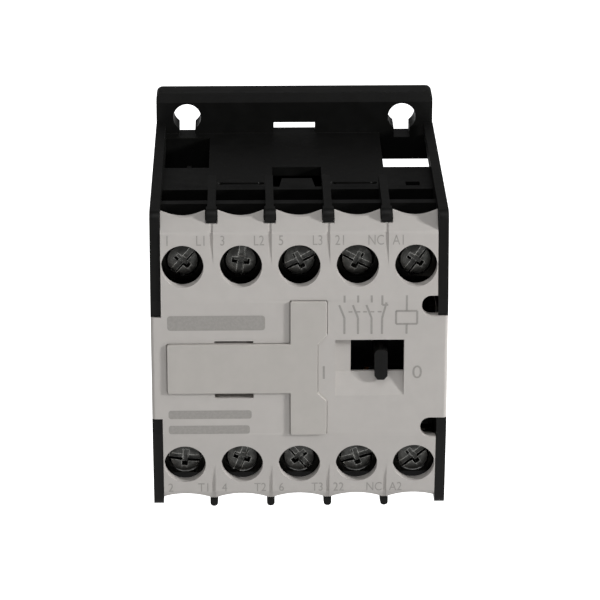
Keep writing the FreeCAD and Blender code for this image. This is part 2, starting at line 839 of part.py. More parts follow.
def front_cover():
    """Grey front cover: a shaped plate over the terminals with two full-width skirts in its middle."""
    body = new_body("front_cover")
    half = D.width / 2
    inner = inner_half()
    pad(body, "YZ", (-D.zone_half_width, D.zone_half_width), [cover_outline()])
    band = D.band_half_height
    pad(body, "XY", (-band, band), [[
        (-half, at(D.d_skirt)), (half, at(D.d_skirt)), (half, at(0), 0.5), (-half, at(0), 0.5),
    ]])
    slot(body, (-inner, inner), (at(D.shell), at(D.d_skirt + 1)), (-band - 1, band + 1))
    pocket(body, "YZ", (-half - 1, half + 1), [
        rectangle((at(D.nub_window_front), at(D.nub_window_back)),
                  (side * D.nub_window_low, side * D.nub_window_high)) for side in SIDES
    ])
    cut_cover_front(body)
    cut_terminal_row(body)


def marker_plate():
    """T-shaped marking plate that sits in the cover's recess and stands a little proud."""
    body = new_body("marker_plate")
    seat = at(D.label_recess - 0.05)
    pad(body, "XZ", (seat - D.marker_thickness, seat), [tee_outline(0)])


# ---------------------------------------------------------------- contacts and carrier

def bridge_places():
    """For each pole: name, side the fixed contacts lie on, and the X of the bridge's two faces."""
    places = []
    for index, name in enumerate(("1_2", "3_4", "5_6", "21_22")):
        if index < 3:
            fixed = column(index) - D.no_leg + D.strip + D.tip_thickness
            near = fixed + D.contact_gap + D.tip_thickness
            places.append((name, -1, near, near + D.bridge_thickness))
        else:
            fixed = column(index) + D.nc_leg - D.tip_thickness
            near = fixed - D.touch_gap - D.tip_thickness
            places.append((name, 1, near, near - D.bridge_thickness))
    return places


def contact_carrier():
    """Sliding carrier: a bar through all columns, a neck to the armature, and the indicator tab."""
    body = new_body("contact_carrier")
    places = bridge_places()
    bar_left = places[0][2] - D.gap - 1.3
    bar_z = (-D.bar_half_z, D.bar_half_z)
    block(body, (bar_left, D.neck_right), (at(D.d_bar_front), at(D.d_bar_back)), bar_z)
    window = (at(D.d_window_front), at(D.d_window_back))
    for name, side, near, far in places:
        if side < 0:
            span = (near - D.gap, far + D.spring_room)
        else:
            span = (far - D.spring_room, near + D.over_travel + D.gap)
        slot(body, span, window, (-D.bar_half_z - 1, D.bar_half_z + 1))
    plate_front = -D.body_split + 1.6
    block(body, (D.neck_left, D.neck_right), (at(D.d_bar_front), plate_front + 0.1),
          (-D.neck_half_z, D.neck_half_z))
    block(body, (D.neck_left, D.neck_right), (plate_front, -D.magnet_y + 6), (-D.ear_outer, D.ear_outer))
    for side in SIDES:
        block(body, (D.ear_left, D.neck_right), magnet_span(6), (side * D.ear_inner, side * D.ear_outer))
        block(body, (D.ear_left, D.ear_left + D.lug_thickness), magnet_span(2),
              (side * D.ear_inner, side * D.lug_outer))
    pocket(body, "XY", (-D.ear_outer - 1, D.ear_outer + 1), [
        circle(D.pin_x, -D.magnet_y, D.pin_radius + 0.05)
    ])
    add_indicator_tab(body)


def add_indicator_tab(body):
    """Upright tab in the window, round on top, with a pointed nose over the window's ramp."""
    middle = (D.tab_left + D.tab_right) / 2
    proud = at(-0.1)
    pad(body, "XZ", (proud, at(D.d_bar_front + 0.1)), [[
        (D.tab_left, -D.tab_low), (D.tab_right, -D.tab_low),
        (D.tab_right, D.tab_high, 0.7), (D.tab_left, D.tab_high, 0.7),
    ]])
    pad(body, "XZ", (proud, at(D.d_tab_nose)), [[
        (D.tab_left, -D.tab_low + 0.1), (D.tab_left, -D.tab_low - 0.5), (middle - 0.5, -D.tab_nose_low, 0.3),
        (middle + 0.5, -D.tab_nose_low, 0.3), (D.tab_right, -D.tab_low - 0.5),
        (D.tab_right, -D.tab_low + 0.1),
    ]])


def bridge(name, near, far):
    """Moving contact bridge: a flat bar across both fixed contacts."""
    body = new_body(f"contact_bridge_{name}")
    front = at(D.d_bridge_front)
    pad(body, "YZ", (near, far), [mirrored_up([
        (front + D.bridge_width, D.bridge_half_length, 0.7), (front, D.bridge_half_length, 0.7),
    ])])


def add_tips(body, span):
    """Two round contact tips, above and below the middle."""
    middle = at(D.d_bridge_front + D.bridge_width / 2)
    pad(body, "YZ", span, [circle(middle, side * D.tip_z, D.tip_radius) for side in SIDES])


def fixed_contact(name, index, side, leg):
    """Fixed contact: a terminal plate, and a leg turned back beside the bridge."""
    body = new_body(f"fixed_contact_{name}")
    x = column(index)
    top = at(D.d_strip)
    low = side * D.platform_low
    pad(body, "XZ", (top, top + D.platform_thickness), [
        rectangle((x - D.platform_half_width, x + D.platform_half_width), (low, side * D.platform_high)),
        circle(x, side * D.screw_z, D.bore_radius),
    ])
    back = at(D.d_bridge_front + D.bridge_width)
    block(body, (leg, leg + D.strip), (top, back), (low, side * (D.platform_low + 0.7)))
    block(body, (leg, leg + D.strip), (top + D.platform_thickness, back),
          (side * (D.tip_z - 1.0), side * (D.platform_low + 0.7)))


def contact_springs(name, side, far):
    """Contact spring between a bridge and the end of its window, along X."""
    length = D.spring_room - 2 * D.spring_play
    body = coil_spring(f"contact_spring_{name}", length, D.spring_room / 2.4, D.contact_wire_radius, 4.0)
    turn = FreeCAD.Rotation(FreeCAD.Vector(0, 1, 0), -90 * side)
    middle = at(D.d_bridge_front + D.bridge_width / 2)
    place(body, far - side * D.spring_play, middle, 0, turn)


def contacts():
    """Bridges, tips, contact springs and fixed contacts of all four poles."""
    ends = {"1_2": ("1", "2"), "3_4": ("3", "4"), "5_6": ("5", "6"), "21_22": ("21", "22")}
    for index, (name, side, near, far) in enumerate(bridge_places()):
        bridge(name, near, far)
        tips = new_body(f"bridge_tips_{name}")
        add_tips(tips, (near, near + side * D.tip_thickness))
        contact_springs(name, side, far)
        leg = column(index) - D.no_leg if side < 0 else column(index) + D.nc_leg
        for end, part_side in zip(ends[name], SIDES):
            fixed_contact(end, index, part_side, leg)
    fixed_tips = new_body("fixed_contact_tips")
    for index, (name, side, near, far) in enumerate(bridge_places()):
        leg_face = column(index) - D.no_leg + D.strip if side < 0 else column(index) + D.nc_leg
        add_tips(fixed_tips, (leg_face, leg_face - side * D.tip_thickness))


# ---------------------------------------------------------------- magnet and coil

def fixed_core():
    """Laminated E core with a groove in each outer pole face for its shading ring."""
    body = new_body("fixed_core")
    yoke = -D.core_left + D.core_yoke
    pad(body, "XZ", magnet_span(D.core_half_width), [magnet_outline(-D.core_face, yoke, -D.core_left)])
    groove = D.ring_section / 2 + 0.1
    for side in SIDES:
        slot(body, (-D.core_face - D.ring_depth - 0.2, -D.core_face + 1), magnet_span(groove),
             (side * (D.leg_inner - 1), side * (D.leg_outer + 1)))


def shading_rings():
    """Two copper rings, each around the front half of an outer pole."""
    body = new_body("shading_rings")
    half = D.ring_section / 2
    front = -D.magnet_y - D.core_half_width - 0.05
    face = -D.core_face - 0.1
    for side in SIDES:
        pad(body, "YZ", (face - D.ring_depth, face), [
            rectangle((front - D.ring_section, -D.magnet_y + half),
                      (side * (D.leg_inner - 0.6), side * (D.leg_outer + 0.6))),
            rectangle((front, -D.magnet_y - half), (side * (D.leg_inner - 0.1), side * (D.leg_outer + 0.1))),
        ])


def core_cushion():
    """Rubber pad between the core's yoke and its rib."""
    body = new_body("core_cushion")
    block(body, (-D.core_left - D.cushion_thickness, -D.core_left - 0.05), magnet_span(3), (-8.5, 8.5))


def armature():
    """Moving E-shaped armature, with a cross hole for its pin."""
    body = new_body("armature")
    face = -D.core_face + D.travel + D.pole_gap
    outline = magnet_outline(face, D.armature_inner, D.armature_right)
    pad(body, "XZ", magnet_span(D.core_half_width), [outline])
    pocket(body, "XY", (-D.leg_outer - 1, D.leg_outer + 1), [
        circle(D.pin_x, -D.magnet_y, D.pin_radius + 0.05)
    ])


def armature_pin():
    """Round pin that joins the armature to the carrier's ears."""
    body = new_body("armature_pin")
    pad(body, "XY", (-D.ear_outer + 0.1, D.ear_outer - 0.1), [circle(D.pin_x, -D.magnet_y, D.pin_radius)])


def tube_loop(half_z, half_y, rounding=None):
    """A rectangle about the coil's axis, in Y and Z."""
    low, high = magnet_span(half_y)
    corners = [(low, -half_z), (high, -half_z), (high, half_z), (low, half_z)]
    return [(y, z, rounding) for y, z in corners] if rounding else corners


def coil_bobbin():
    """Bobbin: a rectangular tube around the centre leg with a flange at each end."""
    body = new_body("coil_bobbin")
    hole_z = D.centre_leg + 0.2
    hole_y = D.core_half_width + 0.2
    pad(body, "YZ", (-D.bobbin_left, D.bobbin_right), [tube_loop(hole_z + D.tube_wall, hole_y + D.tube_wall)])
    flange = tube_loop(D.flange_half_z, D.flange_half_y, 0.8)
    pad(body, "YZ", (-D.bobbin_left, -D.bobbin_left + D.flange), [flange])
    pad(body, "YZ", (D.bobbin_right - D.flange, D.bobbin_right), [flange])
    pocket(body, "YZ", (-D.bobbin_left - 1, D.bobbin_right + 1), [tube_loop(hole_z, hole_y)])


def coil_winding():
    """Winding: the copper packet between the bobbin's flanges."""
    body = new_body("coil_winding")
    inner_z = D.centre_leg + 0.25 + D.tube_wall
    inner_y = D.core_half_width + 0.25 + D.tube_wall
    span = (-D.bobbin_left + D.flange + 0.05, D.bobbin_right - D.flange - 0.05)
    pad(body, "YZ", span, [tube_loop(D.winding_half_z, D.winding_half_y, 1.5), tube_loop(inner_z, inner_y)])


def coil_tape():
    """Insulating tape around the winding."""
    body = new_body("coil_tape")
    span = (-D.bobbin_left + D.flange + 0.1, D.bobbin_right - D.flange - 0.1)
    play = 0.03
    pad(body, "YZ", span, [
        tube_loop(D.winding_half_z + D.tape, D.winding_half_y + D.tape, 1.5 + D.tape),
        tube_loop(D.winding_half_z + play, D.winding_half_y + play, 1.5 + play),
    ])


def coil_terminal(name, side):
    """Coil terminal: a terminal plate in the right column with a strip bent back to the bobbin."""
    body = new_body(f"coil_terminal_{name}")
    x = column(4)
    top = at(D.d_strip)
    low = D.platform_low
    strip_left, strip_right = x - 3.0, x - 1.0
    pad(body, "XZ", (top, top + D.platform_thickness), [
        rectangle((x - D.platform_half_width, x + D.platform_half_width),
                  (side * low, side * D.platform_high)),
        circle(x, side * D.screw_z, D.bore_radius),
    ])
    run_back = -D.body_split + 2.0
    level = (side * (low + 0.1), side * (low + 0.8))
    block(body, (strip_left, strip_right), (top, run_back), level)
    block(body, (D.bobbin_right - 1.5, strip_right), (run_back - 1.6, run_back), level)
    block(body, (D.bobbin_right - 1.5, D.bobbin_right + 0.3), (run_back - 1.6, run_back - 0.9),
          (side * (D.flange_half_z + 0.3), side * (low + 0.8)))


def return_springs():
    """Two springs that push the carrier back to its rest position."""
    for name, side in (("upper", 1), ("lower", -1)):
        length = D.ear_left - D.spring_seat - 2 * D.spring_play
        body = coil_spring(f"return_spring_{name}", length, D.return_coil_radius, D.return_wire_radius, 6.0)
        turn = FreeCAD.Rotation(FreeCAD.Vector(0, 1, 0), 90)
        place(body, D.spring_seat + D.spring_play, -D.magnet_y, side * D.spring_z, turn)


# ---------------------------------------------------------------- terminals

TERMINALS = ((1, ("1", "3", "5", "21", "a1")), (-1, ("2", "4", "6", "22", "a2")))
SLOT_ANGLES = ((28, 12, -20, 40, 62), (-35, -18, 8, 52, 78))


def cross_outline(long_half, short_half, half_width):
    """A driver cross with one long and one short bar."""
    return [
        (long_half, half_width), (half_width, half_width), (half_width, short_half),
        (-half_width, short_half), (-half_width, half_width), (-long_half, half_width),
        (-long_half, -half_width), (-half_width, -half_width), (-half_width, -short_half),
        (half_width, -short_half), (half_width, -half_width), (long_half, -half_width),
    ]


def terminal_screw(name, index, side, angle):
    """Captive terminal screw with a combined slot and cross recess; its axis is its own Y axis."""
    body = new_body(f"terminal_screw_{name}")
    end = D.head_height + D.shank_length
    profile = draw(body, "XY", 0, [[
        (0, 0), (0, end), (D.shank_radius - 0.4, end), (D.shank_radius, end - 0.4),
        (D.shank_radius, D.head_height), (D.head_radius, D.head_height), (D.head_radius, 0.35),
        (D.head_radius - 0.35, 0.05), (1.2, 0),
    ]])
    turned = body.newObject("PartDesign::Revolution", f"{body.Label}_turned")
    turned.Profile = profile
    turned.ReferenceAxis = (profile, ["V_Axis"])
    turned.Angle = 360
    body.Tip = turned
    pocket(body, "XZ", (-1, 0.85), [cross_outline(2.2, 1.5, 0.38)])
    turn = FreeCAD.Rotation(FreeCAD.Vector(0, 1, 0), angle)
    place(body, column(index), at(D.d_screw_head), side * D.screw_z, turn)


def terminal_clamp(name, index, side):
    """Square clamp washer under a terminal screw's head."""
    body = new_body(f"terminal_clamp_{name}")
    half_w, half_h = D.clamp_half_width, D.clamp_half_height
    pad(body, "XZ", (0, D.clamp_thickness), [
        [(-half_w, -half_h, 0.4), (half_w, -half_h, 0.4), (half_w, half_h, 0.4), (-half_w, half_h, 0.4)],
        circle(0, 0, D.bore_radius),
    ])
    for edge in SIDES:
        slot(body, (-half_w + 1.2, half_w - 1.2), (D.clamp_thickness - 0.25, D.clamp_thickness + 1),
             (edge * (half_h - 0.5), edge * (half_h + 1)))
    place(body, column(index), at(D.d_strip) - D.clamp_thickness - D.touch_gap, side * D.screw_z)


def terminals():
    """All ten screws and clamps."""
    for (side, names), angles in zip(TERMINALS, SLOT_ANGLES):
        for index, (name, angle) in enumerate(zip(names, angles)):
            terminal_screw(name, index, side, angle)
            terminal_clamp(name, index, side)


# ---------------------------------------------------------------- rail clip

def rail_clip():
    """Sliding clip in the lower flange: its nose holds the rail's lower edge."""
    body = new_body("rail_clip")
    half = D.clip_half_width
    front = -D.clip_front
    back = front + D.clip_thickness
    nose_low = -D.rail_half_height + 0.1
    block(body, (-half, half), (front, back), (-D.clip_low, nose_low + 0.1))
    nose_front = -D.rail_floor + D.lip_space
    pad(body, "YZ", (-half, half), [[
        (nose_front, nose_low), (back, nose_low), (back, nose_low + 0.6),
        (nose_front + 0.5, -D.clip_nose_high),
        (nose_front, -D.clip_nose_high),
    ]])
    window = D.clip_window_half_width
    through = (front - 1, back + 1)
    slot(body, (-window, window), through, (-D.clip_window_low, -D.clip_window_high))
    slot(body, (-2.2, 2.2), through, (-D.clip_low + 0.9, -D.clip_low + 2.0))


def rail_clip_spring():
    """Spring between the housing's post and the top of the clip's window."""
    post_high = -D.clip_window_low + D.clip_play + D.clip_post_height
    length = -D.clip_window_high - post_high - 2 * D.spring_play
    body = coil_spring("rail_clip_spring", length, D.clip_spring_radius, D.clip_wire_radius, 7.0)
    place(body, 0, -D.clip_front + D.clip_thickness / 2, post_high + D.spring_play)


# ---------------------------------------------------------------- build and write

def check_and_write():
    """Stop on any failed feature or bad shape; otherwise write one file for each sub-part."""
    failed = [item.Name for item in doc.Objects if {"Invalid", "Error"} & set(item.State)]
    if failed:
        raise RuntimeError(f"failed features: {failed}")
    os.makedirs("parts", exist_ok=True)
    bodies = [item for item in doc.Objects if item.TypeId == "PartDesign::Body"]
    for body in bodies:
        if body.Shape.isNull() or not body.Shape.isValid():
            raise RuntimeError(f"bad shape: {body.Label}")
        body.Shape.exportStep(f"parts/{body.Label}.step")
    print(len(bodies), "sub-parts written")


def build():
    fill_sheet()
    base_housing()
    contact_housing()
    front_cover()
    marker_plate()
    contact_carrier()
    contacts()
    fixed_core()
    shading_rings()
    core_cushion()
    armature()
    armature_pin()
    coil_bobbin()
    coil_winding()
    coil_tape()
    coil_terminal("a1", 1)
    coil_terminal("a2", -1)
    return_springs()
    terminals()
    rail_clip()
    rail_clip_spring()
    doc.recompute()
    check_and_write()


build()
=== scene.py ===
import math
import json

import bpy
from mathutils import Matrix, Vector
from mathutils.bvhtree import BVHTree


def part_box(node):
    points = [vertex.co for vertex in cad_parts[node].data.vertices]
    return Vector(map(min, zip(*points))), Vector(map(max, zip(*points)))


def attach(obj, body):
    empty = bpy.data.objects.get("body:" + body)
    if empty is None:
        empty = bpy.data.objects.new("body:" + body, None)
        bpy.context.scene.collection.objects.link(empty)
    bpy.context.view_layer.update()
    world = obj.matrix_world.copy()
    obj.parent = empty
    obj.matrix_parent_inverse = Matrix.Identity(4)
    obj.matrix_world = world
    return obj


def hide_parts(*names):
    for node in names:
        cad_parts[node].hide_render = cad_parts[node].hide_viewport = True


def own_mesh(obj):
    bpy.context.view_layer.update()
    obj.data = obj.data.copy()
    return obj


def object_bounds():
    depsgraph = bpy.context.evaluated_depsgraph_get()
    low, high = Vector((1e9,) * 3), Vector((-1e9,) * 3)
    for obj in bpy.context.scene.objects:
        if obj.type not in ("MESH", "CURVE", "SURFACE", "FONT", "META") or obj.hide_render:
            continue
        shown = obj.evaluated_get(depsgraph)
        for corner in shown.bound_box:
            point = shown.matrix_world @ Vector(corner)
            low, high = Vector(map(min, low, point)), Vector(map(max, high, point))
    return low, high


# Looks of the control relay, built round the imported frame. Metres: X right, Y to the rear, Z up.

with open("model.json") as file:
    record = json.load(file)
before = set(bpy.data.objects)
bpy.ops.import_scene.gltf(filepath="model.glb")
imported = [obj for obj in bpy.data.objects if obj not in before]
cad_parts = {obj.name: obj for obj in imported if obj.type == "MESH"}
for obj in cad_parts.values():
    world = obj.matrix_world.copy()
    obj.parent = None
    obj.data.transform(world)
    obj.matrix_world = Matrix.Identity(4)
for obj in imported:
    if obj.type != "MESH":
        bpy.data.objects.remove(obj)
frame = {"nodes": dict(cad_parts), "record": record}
cad_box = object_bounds()

MM = 0.001
NODES = frame["nodes"]


# ---------------------------------------------------------------- materials

def srgb(red, green, blue):
    """A colour given as 0 to 255 display values, as linear RGBA."""
    values = [value / 255 for value in (red, green, blue)]
    linear = [v / 12.92 if v <= 0.04045 else ((v + 0.055) / 1.055) ** 2.4 for v in values]
    return (*linear, 1.0)


def scaled(colour, share):
    """The colour made darker or lighter by this share, and no brighter than white."""
    return (*(min(channel * share, 1.0) for channel in colour[:3]), 1.0)


class Shader:
    """A small builder for one node-based material."""

    def __init__(self, name):
        self.material = bpy.data.materials.new(name)
        self.material.use_nodes = True
        self.tree = self.material.node_tree
        self.principled = self.tree.nodes["Principled BSDF"]
        self.position = self.tree.nodes.new("ShaderNodeTexCoord").outputs["Object"]

    def node(self, kind, **inputs):
        """Add a node; each named input takes a value or another node's output."""
        node = self.tree.nodes.new(kind)
        for name, value in inputs.items():
            self.feed(node.inputs[name.replace("_", " ")], value)
        return node

    def feed(self, socket, value):
        """Link another node's output to the socket, or set its value."""
        if isinstance(value, bpy.types.NodeSocket):
            self.tree.links.new(value, socket)
        else:
            socket.default_value = value

    def set(self, **inputs):
        """Give the surface node its inputs."""
        for name, value in inputs.items():
            self.feed(self.principled.inputs[name.replace("_", " ")], value)

    def stretched(self, scale):
        """The object's coordinates scaled unevenly, for streaks."""
        return self.node("ShaderNodeMapping", Vector=self.position, Scale=scale).outputs["Vector"]

    def noise(self, scale, detail=2.0, roughness=0.5, vector=None):
        """Noise between 0 and 1 with features of about 1/scale metres."""
        node = self.node("ShaderNodeTexNoise", Vector=vector or self.position, Scale=scale, Detail=detail)
        node.inputs["Roughness"].default_value = roughness
        return node.outputs["Fac"]

    def bands(self, direction, pitch):
        """Waves between 0 and 1 along one axis; at a scale of 1 the node runs 20 radians per metre."""
        node = self.node("ShaderNodeTexWave", Vector=self.position, Scale=math.tau / (20 * pitch))
        node.bands_direction = direction
        return node.outputs["Fac"]

    def remap(self, value, from_low, from_high, to_low, to_high):
        """Map one range of values onto another, and clamp it there."""
        node = self.node("ShaderNodeMapRange", Value=value)
        limits = {"From Min": from_low, "From Max": from_high, "To Min": to_low, "To Max": to_high}
        for name, number in limits.items():
            node.inputs[name].default_value = number
        return node.outputs["Result"]

    def mix(self, factor, first, second):
        """Blend two colours."""
        node = self.tree.nodes.new("ShaderNodeMix")
        node.data_type = "RGBA"
        self.feed(node.inputs[0], factor)
        self.feed(node.inputs[6], first)
        self.feed(node.inputs[7], second)
        return node.outputs[2]

    def math(self, operation, first, second):
        """One arithmetic step on two values."""
        node = self.tree.nodes.new("ShaderNodeMath")
        node.operation = operation
        self.feed(node.inputs[0], first)
        self.feed(node.inputs[1], second)
        return node.outputs[0]

    def edges(self, radius):
        """1 on convex or concave edges within this radius, 0 on flats."""
        bevel = self.node("ShaderNodeBevel", Radius=radius)
        bevel.samples = 4
        flat = self.node("ShaderNodeNewGeometry").outputs["Normal"]
        dot = self.tree.nodes.new("ShaderNodeVectorMath")
        dot.operation = "DOT_PRODUCT"
        self.feed(dot.inputs[0], bevel.outputs["Normal"])
        self.feed(dot.inputs[1], flat)
        return self.remap(dot.outputs["Value"], 0.99, 0.8, 0.0, 1.0)

    def bump(self, height, distance, strength):
        """A normal bent by a height between 0 and 1, this many metres deep."""
        node = self.node("ShaderNodeBump", Height=height, Distance=distance, Strength=strength)
        return node.outputs["Normal"]


def moulded_plastic(name, colour, roughness, grain=7000, grain_depth=0.004 * MM, wear_and_highlight_colour=None,
                    specular=0.5):
    """Injection-moulded plastic: fine spark-eroded grain, faint flow mottling, softly polished edges that are
    lighter in patches, part scuff wear and part painted highlight.
    """
    shader = Shader(name)
    mottle = shader.noise(420, 3.0, 0.6)
    darker = scaled(colour, 0.98)
    lighter = scaled(colour, 1.02)
    base = shader.mix(shader.remap(mottle, 0.35, 0.65, 0.0, 1.0), darker, lighter)
    edge = shader.edges(0.12 * MM)
    # Patches of the edges take a lighter colour: part scuff wear, part painted highlight on the rims.
    edge_wear_and_highlight = wear_and_highlight_colour or lighter
    scuff_and_highlight_patches = shader.remap(shader.noise(1800, 4.0, 0.7), 0.45, 0.62, 0.0, 0.55)
    base = shader.mix(shader.math("MULTIPLY", edge, scuff_and_highlight_patches), base, edge_wear_and_highlight)
    fine = shader.noise(grain, 3.0, 0.65)
    coarse = shader.noise(grain * 0.18, 2.0, 0.5)
    height = shader.math("ADD", fine, shader.math("MULTIPLY", coarse, 0.6))
    rough = shader.remap(mottle, 0.3, 0.7, roughness - 0.05, roughness + 0.06)
    rough = shader.math("SUBTRACT", rough, shader.math("MULTIPLY", edge, 0.10))
    shader.set(Base_Color=base, Roughness=rough, Normal=shader.bump(height, grain_depth, 0.8))
    shader.principled.inputs["Specular IOR Level"].default_value = specular
    return shader.material


def rolled_metal(name, colour, roughness, streak=(1, 1, 1), tint=None):
    """Bare or plated metal: fine directional streaks, cloudy plating and small dark spots."""
    shader = Shader(name)
    streak_depth = 0.003 * MM
    cloud_strength = 0.35
    spot_strength = 0.5
    streaks = shader.noise(3000, 4.0, 0.7, shader.stretched(streak))
    clouds = shader.noise(900, 3.0, 0.6)
    tint = tint or scaled(colour, 0.72)
    base = shader.mix(shader.remap(clouds, 0.4, 0.7, 0.0, cloud_strength), colour, tint)
    spots = shader.remap(shader.noise(6000, 2.0), 0.68, 0.78, 0.0, spot_strength)
    base = shader.mix(spots, base, scaled(colour, 0.35))
    rough = shader.remap(streaks, 0.3, 0.7, roughness - 0.07, roughness + 0.1)
    shader.set(Base_Color=base, Metallic=1.0, Roughness=rough,
               Normal=shader.bump(streaks, streak_depth, 0.6))
    return shader.material


def make_materials():
    """Every finish, by the name of the record's material slot."""
    black = srgb(9, 9, 8)
    return {
        "black_moulding": moulded_plastic("black_moulding", black, 0.5, wear_and_highlight_colour=srgb(30, 29, 28),
                                          specular=0.22),
        "grey_moulding": moulded_plastic("grey_moulding", srgb(182, 178, 174), 0.58, grain=9000,
                                         grain_depth=0.006 * MM, wear_and_highlight_colour=srgb(205, 202, 197)),
        "marker_plastic": moulded_plastic("marker_plastic", srgb(178, 174, 169), 0.5, grain=11000,
                                          grain_depth=0.003 * MM, wear_and_highlight_colour=srgb(200, 197, 192)),
        "clip_plastic": moulded_plastic("clip_plastic", srgb(30, 30, 29), 0.38, wear_and_highlight_colour=srgb(70, 69, 66)),
        "zinc_plated_steel": rolled_metal("zinc_plated_steel", srgb(104, 105, 104), 0.3,
                                          tint=srgb(72, 71, 66)),
        "terminal_metal": rolled_metal("terminal_metal", srgb(206, 202, 190), 0.3, (1, 1, 0.15)),
        "contact_bronze": rolled_metal("contact_bronze", srgb(196, 142, 92), 0.3, (1, 1, 0.12),
                                       srgb(150, 96, 58)),
        "contact_silver": rolled_metal("contact_silver", srgb(214, 213, 208), 0.36, tint=srgb(150, 146, 138)),
        "copper": rolled_metal("copper", srgb(198, 118, 78), 0.28, tint=srgb(148, 78, 50)),
        "spring_steel": rolled_metal("spring_steel", srgb(176, 176, 174), 0.28),
        "magnet_steel": lamination_material(),
        "bobbin_plastic": moulded_plastic("bobbin_plastic", srgb(70, 68, 64), 0.45),
        "coil_tape": tape_material(),
        "rubber": moulded_plastic("rubber", srgb(36, 35, 34), 0.8, grain=3000, grain_depth=0.02 * MM),
        # Dark steel for the terminal clamps: painted shade inside the screw holes.
        "painted_shade_steel": rolled_metal("painted_shade_steel", srgb(58, 57, 54), 0.45, tint=srgb(38, 37, 34)),
        # The screws' dark base colour is painted shade and dark reflection from the holes around them.
        "screw_steel": rim_highlight_steel("screw_steel", srgb(84, 84, 82), srgb(225, 225, 220)),
        "print": print_ink("print", srgb(148, 145, 141)),
    }


def rim_highlight_steel(name, colour, bright):
    """Plated steel, darker in clouds, with a bright painted rim highlight along its edges that is partly
    rubbed plating.
    """
    shader = Shader(name)
    clouds = shader.remap(shader.noise(1100, 4.0, 0.65), 0.4, 0.66, 0.0, 0.6)
    darker = scaled(colour, 0.45)
    # Bright edges: painted rim highlight, partly rubbed plating.
    rim_highlight_and_wear = shader.math("MULTIPLY", shader.edges(0.22 * MM), shader.remap(clouds, 0.1, 0.5, 1.0, 0.35))
    base = shader.mix(rim_highlight_and_wear, shader.mix(clouds, colour, darker), bright)
    scratches = shader.noise(5000, 4.0, 0.7, shader.stretched((1, 1, 0.1)))
    shader.set(Base_Color=base, Metallic=1.0, Roughness=shader.remap(clouds, 0.0, 0.6, 0.26, 0.5),
               Normal=shader.bump(scratches, 0.006 * MM, 0.7))
    return shader.material


def print_ink(name, colour):
    """Thin pad-printed ink: matt, a little uneven."""
    shader = Shader(name)
    thin = shader.remap(shader.noise(2600, 3.0, 0.6), 0.4, 0.62, 0.0, 0.5)
    shader.set(Base_Color=shader.mix(thin, colour, scaled(colour, 1.18)), Roughness=0.7)
    return shader.material


def lamination_material():
    """Stacked laminations: dark joints every half millimetre through the stack, and rust-brown cut edges."""
    shader = Shader("magnet_steel")
    wave = shader.bands("Y", 0.5 * MM)
    joint = shader.remap(wave, 0.86, 0.97, 0.0, 1.0)
    oxide = shader.remap(shader.noise(1400, 4.0, 0.65), 0.42, 0.66, 0.0, 0.8)
    steel = shader.mix(oxide, srgb(132, 130, 127), srgb(84, 74, 64))
    base = shader.mix(joint, steel, srgb(38, 35, 32))
    height = shader.math("SUBTRACT", shader.noise(5000, 3.0), shader.math("MULTIPLY", joint, 2.0))
    rough = shader.remap(oxide, 0.0, 0.8, 0.34, 0.6)
    shader.set(Base_Color=base, Metallic=0.9, Roughness=rough, Normal=shader.bump(height, 0.02 * MM, 0.7))
    return shader.material


def tape_material():
    """Yellow polyester tape: glossy, with wrap lines along the coil."""
    shader = Shader("coil_tape")
    line = shader.remap(shader.bands("X", 6 * MM), 0.93, 0.99, 0.0, 1.0)
    base = shader.mix(line, srgb(204, 164, 60), srgb(158, 118, 34))
    base = shader.mix(shader.remap(shader.noise(700, 3.0), 0.4, 0.7, 0.0, 0.35), base, srgb(222, 190, 96))
    shader.set(Base_Color=base, Roughness=0.22, Normal=shader.bump(shader.noise(900, 2.0), 0.03 * MM, 0.4))
    return shader.material


MATERIALS = make_materials()


# Bevel on the sharp edges of each finish, in millimetres; every other finish has the narrow one.
EDGE_WIDTHS = {"black_moulding": 0.12, "grey_moulding": 0.12, "marker_plastic": 0.1, "clip_plastic": 0.1,
               "rubber": 0.15}
NARROW_EDGE = 0.05
FLAT_ANGLE = math.radians(0.5)
SHARP_ANGLE = math.radians(32)


def finish_cad_nodes():
    """Give each CAD node the finish of its slot, clean flat faces and slightly rounded edges; the terminal
    clamps get dark steel instead, as painted shade inside the screw holes.
    """
    slots = {part["node"]: part["material_slot"] for part in frame["record"]["subparts"]}
    for name, item in NODES.items():
        item.data.materials.clear()
        # The terminal clamps take dark steel as painted shade in the screw holes.
        in_painted_shade = name.startswith("terminal_clamp")
        item.data.materials.append(MATERIALS["painted_shade_steel" if in_painted_shade else slots[name]])
        round_edges(item, EDGE_WIDTHS.get(slots[name], NARROW_EDGE) * MM)


def add_bevel(item, width, angle):
    """Bevel every edge that is sharper than this angle."""
    bevel = item.modifiers.new("edges", "BEVEL")
    bevel.width = width
    bevel.segments = 2
    bevel.limit_method = "ANGLE"
    bevel.angle_limit = angle
    return bevel


def round_edges(item, width):
    """Merge the facets of flat faces, then bevel the sharp edges, as modifiers."""
    weld = item.modifiers.new("weld", "WELD")
    weld.merge_threshold = 0.001 * MM
    flat = item.modifiers.new("flat_faces", "DECIMATE")
    flat.decimate_type = "DISSOLVE"
    flat.angle_limit = FLAT_ANGLE
    bevel = add_bevel(item, width, SHARP_ANGLE)
    bevel.miter_outer = "MITER_ARC"
    bevel.harden_normals = False
    smooth = item.modifiers.new("normals", "WEIGHTED_NORMAL")
    smooth.keep_sharp = True


finish_cad_nodes()


# ---------------------------------------------------------------- new pieces

def new_mesh(name, points, faces):
    """A mesh of these points and faces."""
    mesh = bpy.data.meshes.new(name)
    mesh.from_pydata(points, [], faces)
    return mesh


def new_object(name, data):
    """An object that shows this data, linked to the scene."""
    item = bpy.data.objects.new(name, data)
    bpy.context.scene.collection.objects.link(item)
    return item


